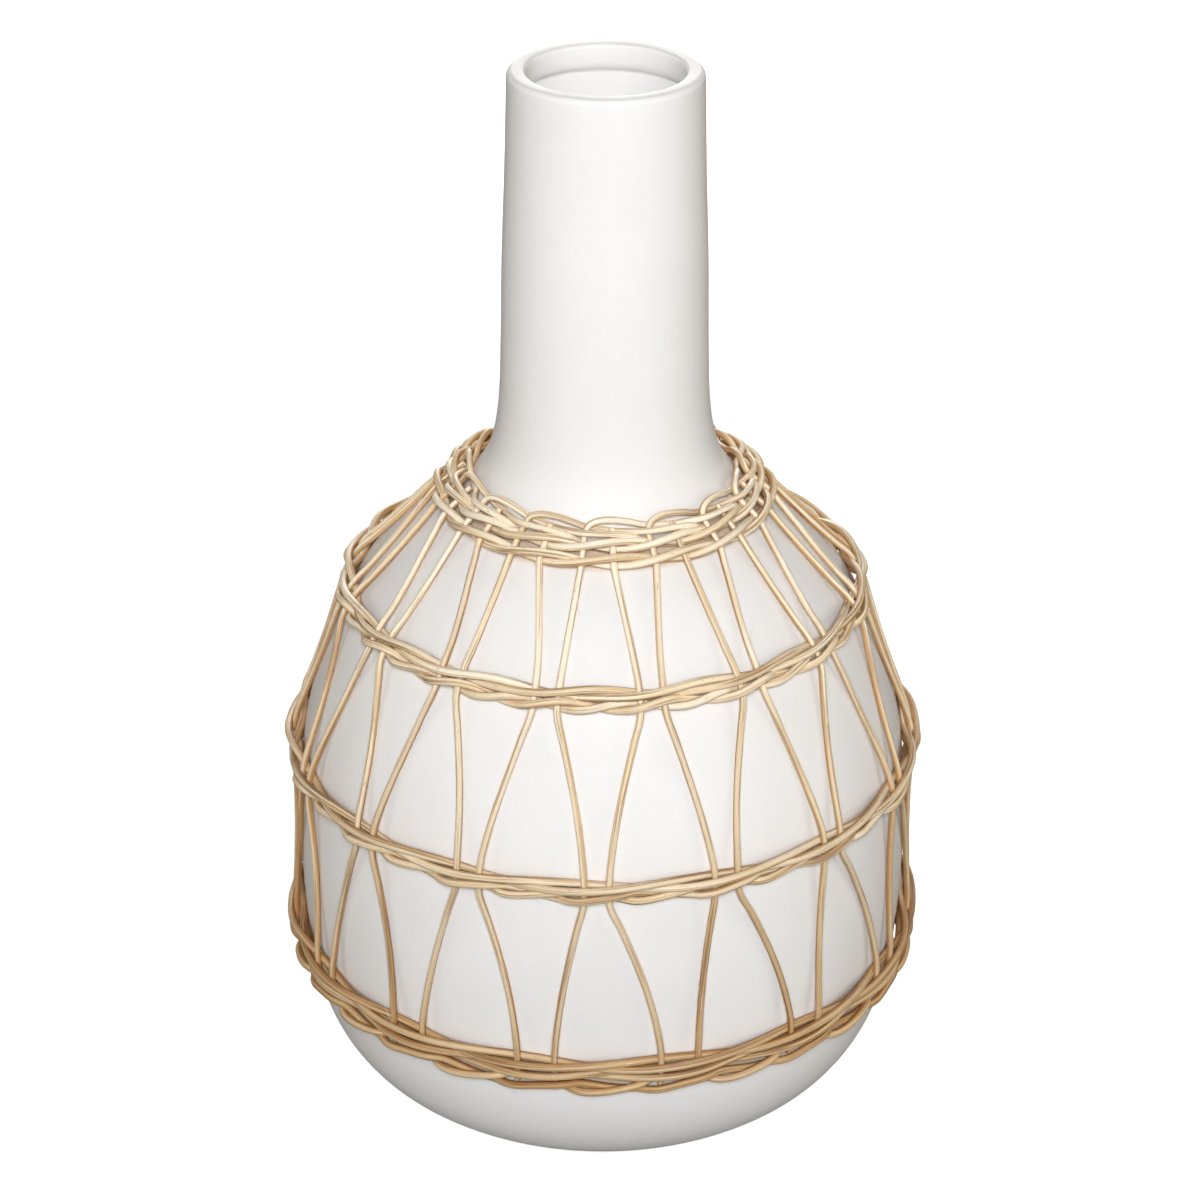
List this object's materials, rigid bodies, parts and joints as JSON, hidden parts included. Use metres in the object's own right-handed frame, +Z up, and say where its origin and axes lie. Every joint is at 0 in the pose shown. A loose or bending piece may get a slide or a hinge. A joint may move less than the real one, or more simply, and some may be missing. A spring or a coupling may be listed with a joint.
{
  "type": "vase",
  "caption": "Bottle-shaped ceramic vase with a long neck and full belly, held in an open cage of zigzag rattan canes, twined bands and a looped collar.",
  "frame": {"origin": "centre of the foot ring, on the surface that the vase stands on", "axes": "+Z up the vase's turning axis to the mouth; -Y is the side the picture shows"},
  "size_m": [0.2009, 0.2, 0.33],
  "materials": {
    "clay": "matt off-white",
    "upright_cane": "natural, unvarnished",
    "weaver_cane": "natural, unvarnished"
  },
  "bodies": {
    "root": {"base_band_row_1_cane_a": "weaver_cane", "base_band_row_1_cane_b": "weaver_cane", "base_band_row_2_cane_a": "weaver_cane", "base_band_row_2_cane_b": "weaver_cane", "base_band_row_3_cane_a": "weaver_cane", "base_band_row_3_cane_b": "weaver_cane", "collar_row_1_cane_a": "weaver_cane", "collar_row_1_cane_b": "weaver_cane", "collar_row_2_cane_a": "weaver_cane", "collar_row_2_cane_b": "weaver_cane", "left_stake_01": "upright_cane", "left_stake_02": "upright_cane", "left_stake_03": "upright_cane", "left_stake_04": "upright_cane", "left_stake_05": "upright_cane", "left_stake_06": "upright_cane", "left_stake_07": "upright_cane", "left_stake_08": "upright_cane", "left_stake_09": "upright_cane", "left_stake_10": "upright_cane", "left_stake_11": "upright_cane", "left_stake_12": "upright_cane", "left_stake_13": "upright_cane", "left_stake_14": "upright_cane", "left_stake_15": "upright_cane", "left_stake_16": "upright_cane", "lower_band_row_1_cane_a": "weaver_cane", "lower_band_row_1_cane_b": "weaver_cane", "lower_band_row_2_cane_a": "weaver_cane", "lower_band_row_2_cane_b": "weaver_cane", "right_stake_01": "upright_cane", "right_stake_02": "upright_cane", "right_stake_03": "upright_cane", "right_stake_04": "upright_cane", "right_stake_05": "upright_cane", "right_stake_06": "upright_cane", "right_stake_07": "upright_cane", "right_stake_08": "upright_cane", "right_stake_09": "upright_cane", "right_stake_10": "upright_cane", "right_stake_11": "upright_cane", "right_stake_12": "upright_cane", "right_stake_13": "upright_cane", "right_stake_14": "upright_cane", "right_stake_15": "upright_cane", "right_stake_16": "upright_cane", "upper_band_row_1_cane_a": "weaver_cane", "upper_band_row_1_cane_b": "weaver_cane", "upper_band_row_2_cane_a": "weaver_cane", "upper_band_row_2_cane_b": "weaver_cane", "vase_body": "clay"}
  },
  "joints": []
}
